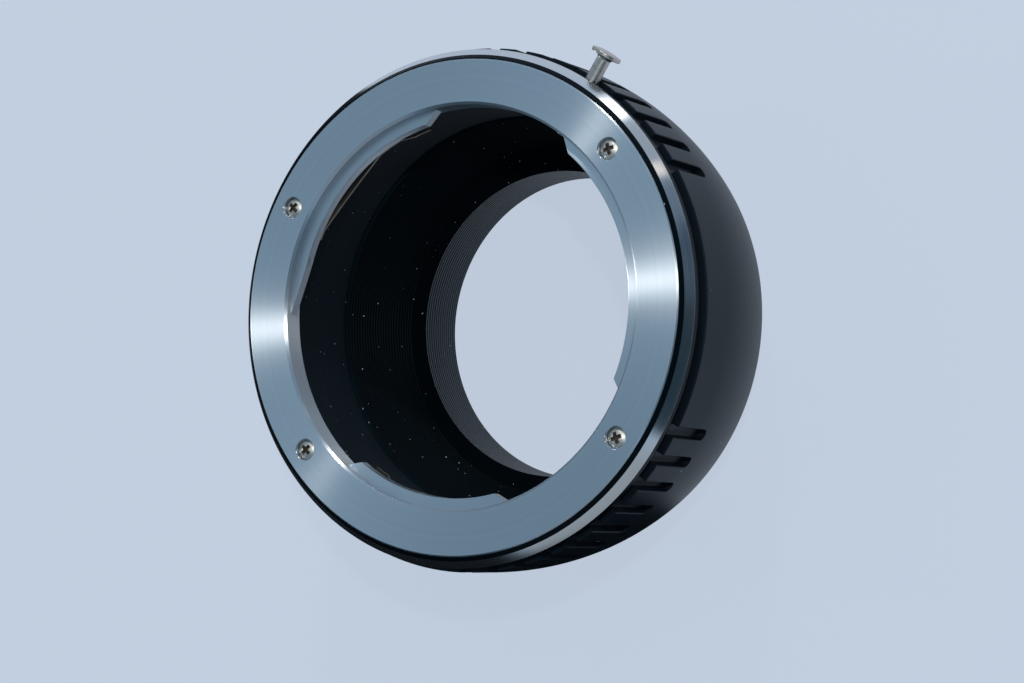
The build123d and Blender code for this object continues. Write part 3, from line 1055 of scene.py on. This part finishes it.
def make_camera_ring():
    """Flange and spigot with three lugs, screw holes and the hole for the camera's lock pin."""
    ring = lathe("camera_bayonet_ring", rounded([
        (ring_bore, 0, 0.15),
        (spigot_radius, 0, 0.25),
        (spigot_radius, spigot_depth, 0.1),
        (flange_radius - flange_bevel, spigot_depth, 0.04),
        (flange_radius, spigot_depth + flange_bevel, 0.04),
        (flange_radius, camera_seat),
        (ring_bore, camera_seat, 0),
    ], 0.08))
    lug_outline = rounded([
        (camera_lug_root, camera_lug_end, 0),
        (camera_lug_radius, camera_lug_end, 0.3),
        (camera_lug_radius, camera_lug_end + camera_lug_thickness),
        (camera_lug_root, camera_lug_end + camera_lug_thickness, 0),
    ], lug_edge)
    for centre in camera_lug_angles:
        span = (centre - camera_lug_width / 2, centre + camera_lug_width / 2)
        lug = arc_block("lug", lug_outline, span, (0, 0), camera_lug_root, camera_lug_radius)
        mill(ring, lug, middle(), join=True)
    lock_place = places("lock_place", camera_screw_circle, (lock_hole_angle,), spigot_depth)
    mill(ring, lock_hole_tool(), lock_place)
    screw_holes = places("camera_screw_places", camera_screw_circle, camera_screw_angles, spigot_depth)
    mill(ring, counterbore_tool(-1), screw_holes)
    shade(ring, chrome)
    settle(ring, "adapter", "mount_bright", "camera_mount_ring")


# Screws

def cross_level(height, width, length):
    """Outline of the cross recess at one height."""
    arm, reach = width / 2, length / 2
    points = []
    for quarter in range(4):
        turn = radians(45 + 90 * quarter)
        for x, y in ((reach, -arm), (reach, arm), (arm, arm)):
            points.append((x * cos(turn) - y * sin(turn), x * sin(turn) + y * cos(turn), height))
    return points


def screw_part(facing):
    """Domed screw with a tapered cross recess, its head standing on the seat."""
    dome_end = atan2(head_radius, dome_radius - head_dome)
    dome = []
    for step in range(1, DOME_STEPS + 1):
        turn = dome_end * (1 - step / DOME_STEPS)
        dome.append((dome_radius * sin(turn), head_height - dome_radius + dome_radius * cos(turn), 0))
    screw = lathe("screw", rounded([
        (0, -screw_length, 0),
        (screw_radius, -screw_length, 0.15),
        (screw_radius, 0, 0),
        (head_radius, 0, 0.04),
        (head_radius, head_height - head_dome, 0.06),
        *dome,
    ], 0.04), FINE_SEGMENTS)
    recess = lofted("recess", [
        cross_level(head_height + height, recess_width * wide, recess_length * long)
        for height, wide, long in recess_levels
    ])
    mill(screw, recess, middle())
    if facing < 0:
        screw.data.transform(Matrix.Rotation(pi, 4, "X"))
    return screw


def make_screws(name, facing, circle, angles, height, node):
    """One group of screws, each turned as it was left when driven home."""
    screw = screw_part(facing)
    marker = places("screw_places", circle, angles, height)
    own_turn = marker.data.attributes.new("own_turn", "FLOAT", "POINT")
    for item, turn in zip(own_turn.data, screw_turns):
        item.value = radians(turn)
    group = new_object(name, [], [])
    apply_tree(group, set_at_places, tool=screw, places=marker, material=nickel)
    spots = [vertex.co / MM for vertex in marker.data.vertices]
    discard(screw, marker)

    def finish_of_screw(place, normal):
        """Brown in the recess, nickel on the head and the shank."""
        spot = min(spots, key=lambda other: (other - place).length)
        radius = hypot(place.x - spot.x, place.y - spot.y)
        lift = facing * (place.z - spot.z)
        dome = head_height - dome_radius + sqrt(max(0.0, dome_radius ** 2 - radius ** 2))
        sunk = radius < head_radius - NEAR and HAIR < lift < dome - HAIR
        return recess_brown if sunk else nickel

    shade(group, nickel, recess_brown, pick=finish_of_screw)
    settle(group, "adapter", "screw_steel", node)


# Release pin and its spring

def make_release_pin():
    """Nail-shaped knob, the plunger that it is screwed on, and the coil spring behind the collar."""
    knob = lathe("release_pull", rounded([
        (0, rod_end, 0),
        (rod_hole_radius, rod_end, 0),
        (rod_hole_radius, knob_start, 0),
        (stem_radius, knob_start, 0.06),
        (stem_radius, knob_head_under - knob_flare, 0.3),
        (stem_radius + knob_flare, knob_head_under, 0),
        (knob_head_radius, knob_head_under, 0.1),
        (knob_head_radius, knob_head_side, 0.12),
        (knob_crown_radius, knob_crown, 1.0),
        (0, knob_top, 0),
    ], 0.06), FINE_SEGMENTS, along_pin=True)
    shade(knob, steel)
    settle(knob, "release_pin", "pin_steel", "release_knob")
    plunger = lathe("lock_pin", rounded([
        (0, tip_start, 0),
        (tip_radius, tip_start, 0.2),
        (tip_radius, collar_start, 0.04),
        (collar_radius, collar_start, 0.08),
        (collar_radius, knob_start, 0.08),
        (rod_radius, knob_start, 0),
        (rod_radius, rod_end, 0.08),
        (0, rod_end, 0),
    ], 0.05), FINE_SEGMENTS, along_pin=True)
    shade(plunger, steel)
    settle(plunger, "release_pin", "pin_steel", "lock_plunger")
    spring = new_object("plunger_spring", [], [])
    coil_start = spring_low[1] + coil_wire / 2
    coil_end = spring_high[1] - coil_wire / 2
    apply_tree(
        spring,
        wound_coil,
        turns=float(coil_turns),
        coil_radius=(spring_high[0] - coil_wire / 2) * MM,
        wire_radius=coil_wire / 2 * MM,
        length=(coil_end - coil_start) * MM,
        start=(0.0, coil_start * MM, pin_height * MM),
        material=wire_steel,
    )
    shade(spring, wire_steel)
    settle(spring, "adapter", "screw_steel", "return_spring")
    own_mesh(spring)


make_barrel()
make_lens_ring()
make_camera_ring()
make_screws(
    "lens_screws",
    facing=1,
    circle=lens_screw_circle,
    angles=lens_screw_angles,
    height=lens_flange - head_bore_depth,
    node="lens_ring_screws",
)
make_screws(
    "camera_screws",
    facing=-1,
    circle=camera_screw_circle,
    angles=camera_screw_angles,
    height=spigot_depth + head_bore_depth,
    node="camera_ring_screws",
)
make_release_pin()
for number in (1, 2, 3):
    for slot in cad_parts[f"lug_spring_{number}"].material_slots:
        slot.material = bronze


# Floor, light and camera

FLOOR_COLOUR = (0.578, 0.658, 0.776)
FLOOR_GLOW = 0.85  # share of the floor's colour that doesn't depend on the lamps
FLOOR_HALF = 3000.0
SHADE_COLOUR = (0.008, 0.01, 0.013)  # of the floor in reflections, where it is in shade
SHADE_SIDE = -106.0  # azimuth of the side on which the floor is in shade
SIDE_SHADE_EDGE = (2.5, 7.0)  # from the axis towards that side, to where the shade starts and is full
HOLE_EDGE = (20.0, 24.0)  # round the axis, where the floor shows through the part
HOLE_SHADE = 0.55  # how dark reflections see the floor in the middle of the hole
HOLE_SHADE_EDGE = (16.0, 11.0)  # round the axis, to where that shade starts and is full
ROOM_COLOUR = (0.44, 0.56, 0.69)  # pale along the horizon
# Each patch of the room: azimuth and elevation, the angles from there where it is full and where it ends,
# and its colour
ROOM_PATCHES = (
    ((0.0, 90.0), 58.0, 80.0, (0.27, 0.39, 0.5)),
    ((-75.0, 55.0), 15.0, 40.0, (0.12, 0.19, 0.26)),
    ((-40.0, 8.0), 18.0, 33.0, (0.36, 0.41, 0.46)),
    ((86.0, 8.0), 13.0, 17.0, (0.36, 0.42, 0.5)),
    ((68.0, 10.0), 9.0, 13.0, (0.12, 0.18, 0.25)),
    ((20.0, 12.0), 25.5, 31.0, (0.012, 0.03, 0.045)),
    ((50.0, 12.0), 9.0, 18.0, (0.024, 0.052, 0.092)),
    ((-96.0, 0.0), 20.0, 34.0, (0.01, 0.018, 0.026)),
    ((107.0, 4.0), 4.0, 6.0, (3.2, 3.1, 3.0)),
    ((82.5, 10.0), 2.0, 3.5, (1.7, 1.5, 1.35)),
)
LAMP_DISTANCE = 900.0
# Each lamp: azimuth and elevation, length of its sides, power and colour
LAMPS = {
    "key": ((52.0, 60.0), 40.0, 2.1, (1.0, 0.98, 0.95)),
    "side": ((209.6, 14.0), 40.0, 0.85, (1.0, 0.98, 0.95)),
    "window": ((112.5, 35.0), 60.0, 1.5, (1.0, 1.0, 0.97)),
}
CAMERA_PLACE = (141.95, 59.41, 280.39)
CAMERA_AHEAD = (-0.4619, -0.2043, -0.8631)
CAMERA_UPRIGHT = (-0.5157, 0.8536, 0.0740)
CAMERA_SENSOR = 36.0
CAMERA_LENS = 87.9
CAMERA_CLIP = 10.0


def direction_of(azimuth, elevation):
    """Unit direction from the part, from angles in degrees."""
    turn, rise = radians(azimuth), radians(elevation)
    return Vector((cos(rise) * cos(turn), cos(rise) * sin(turn), sin(rise)))


def make_floor():
    """Pale floor that keeps a soft shadow. In reflections, one side of it is in shade."""
    half = FLOOR_HALF
    square = [(-half, -half, 0), (half, -half, 0), (half, half, 0), (-half, half, 0)]
    floor = new_object("floor", square, [(0, 1, 2, 3)])
    material = bpy.data.materials.new("pale_floor")
    material.use_nodes = True
    tree = material.node_tree
    tree.nodes.clear()
    make, join = tree.nodes.new, tree.links.new
    path = make("ShaderNodeLightPath")
    seen = math_node(tree, "MAXIMUM", path.outputs["Is Camera Ray"], path.outputs["Is Glossy Ray"])
    seen = math_node(tree, "MAXIMUM", seen, path.outputs["Is Transmission Ray"])
    where = make("ShaderNodeTexCoord").outputs["Object"]
    measures = (("DOT_PRODUCT", SIDE_SHADE_EDGE), ("LENGTH", HOLE_EDGE), ("LENGTH", HOLE_SHADE_EDGE))
    masks = []
    for operation, limits in measures:
        reach = make("ShaderNodeVectorMath")
        reach.operation = operation
        reach.inputs[1].default_value = direction_of(SHADE_SIDE, 0.0)
        join(where, reach.inputs[0])
        edge = make("ShaderNodeMapRange")
        edge.interpolation_type = "SMOOTHSTEP"
        edge.inputs["From Min"].default_value = limits[0] * MM
        edge.inputs["From Max"].default_value = limits[1] * MM
        join(reach.outputs["Value"], edge.inputs["Value"])
        masks.append(edge.outputs["Result"])
    beside, outside, within = masks
    shaded = math_node(tree, "MULTIPLY", beside, outside)
    shaded = math_node(tree, "MAXIMUM", shaded, math_node(tree, "MULTIPLY", within, HOLE_SHADE))
    shaded = math_node(tree, "MULTIPLY", shaded, path.outputs["Is Glossy Ray"])
    tone = make("ShaderNodeMix")
    tone.data_type = "RGBA"
    tone.inputs[MIX_FIRST].default_value = (*FLOOR_COLOUR, 1)
    tone.inputs[MIX_SECOND].default_value = (*SHADE_COLOUR, 1)
    join(shaded, tone.inputs["Factor"])
    dull = make("ShaderNodeBsdfDiffuse")
    glow = make("ShaderNodeEmission")
    mix = make("ShaderNodeMixShader")
    output = make("ShaderNodeOutputMaterial")
    join(tone.outputs[MIX_RESULT], dull.inputs["Color"])
    join(tone.outputs[MIX_RESULT], glow.inputs["Color"])
    join(math_node(tree, "MULTIPLY", seen, FLOOR_GLOW), mix.inputs[0])
    join(dull.outputs[0], mix.inputs[1])
    join(glow.outputs[0], mix.inputs[2])
    join(mix.outputs[0], output.inputs["Surface"])
    floor.data.materials.append(material)


def make_world():
    """Cool room light with soft patches, dark behind the camera and pale along the horizon."""
    world = bpy.data.worlds.new("room")
    bpy.context.scene.world = world
    world.use_nodes = True
    tree = world.node_tree
    tree.nodes.clear()
    make, join = tree.nodes.new, tree.links.new
    direction = make("ShaderNodeTexCoord").outputs["Generated"]
    colour = None
    for towards, start, end, patch in ROOM_PATCHES:
        aim = make("ShaderNodeVectorMath")
        aim.operation = "DOT_PRODUCT"
        aim.inputs[1].default_value = direction_of(*towards)
        join(direction, aim.inputs[0])
        fade = make("ShaderNodeMapRange")
        fade.interpolation_type = "SMOOTHSTEP"
        fade.inputs["From Min"].default_value = cos(radians(end))
        fade.inputs["From Max"].default_value = cos(radians(start))
        join(aim.outputs["Value"], fade.inputs["Value"])
        blend = make("ShaderNodeMix")
        blend.data_type = "RGBA"
        join(fade.outputs["Result"], blend.inputs["Factor"])
        blend.inputs[MIX_SECOND].default_value = (*patch, 1)
        if colour is None:
            blend.inputs[MIX_FIRST].default_value = (*ROOM_COLOUR, 1)
        else:
            join(colour, blend.inputs[MIX_FIRST])
        colour = blend.outputs[MIX_RESULT]
    path = make("ShaderNodeLightPath")
    choose = make("ShaderNodeMix")
    choose.data_type = "RGBA"
    choose.inputs[MIX_SECOND].default_value = (*FLOOR_COLOUR, 1)
    background = make("ShaderNodeBackground")
    output = make("ShaderNodeOutputWorld")
    join(path.outputs["Is Camera Ray"], choose.inputs["Factor"])
    join(colour, choose.inputs[MIX_FIRST])
    join(choose.outputs[MIX_RESULT], background.inputs["Color"])
    join(background.outputs[0], output.inputs["Surface"])


def make_lamp(name, towards, side, power, colour):
    """Square lamp that shines on the middle of the front plate."""
    lamp = bpy.data.lights.new(name, "AREA")
    lamp.shape = "RECTANGLE"
    lamp.size = side * MM
    lamp.size_y = side * MM
    lamp.energy = power
    lamp.color = colour
    away = direction_of(*towards)
    light = bpy.data.objects.new(name, lamp)
    light.location = away * LAMP_DISTANCE * MM + Vector((0, 0, lens_flange * MM))
    light.rotation_euler = away.to_track_quat("Z", "Y").to_euler()
    bpy.context.scene.collection.objects.link(light)


def make_camera():
    """Camera at the photograph's viewing angle."""
    ahead = Vector(CAMERA_AHEAD).normalized()
    right = ahead.cross(Vector(CAMERA_UPRIGHT)).normalized()
    upright = right.cross(ahead)
    data = bpy.data.cameras.new("camera")
    data.sensor_width = CAMERA_SENSOR
    data.lens = CAMERA_LENS
    data.clip_start = CAMERA_CLIP * MM
    camera = bpy.data.objects.new("camera", data)
    turn = Matrix((right, upright, -ahead)).transposed().to_4x4()
    camera.matrix_world = Matrix.Translation(Vector(CAMERA_PLACE) * MM) @ turn
    bpy.context.scene.collection.objects.link(camera)
    bpy.context.scene.camera = camera


make_floor()
make_world()
for name, settings in LAMPS.items():
    make_lamp(name, *settings)
make_camera()
bpy.context.scene.view_settings.view_transform = "Standard"
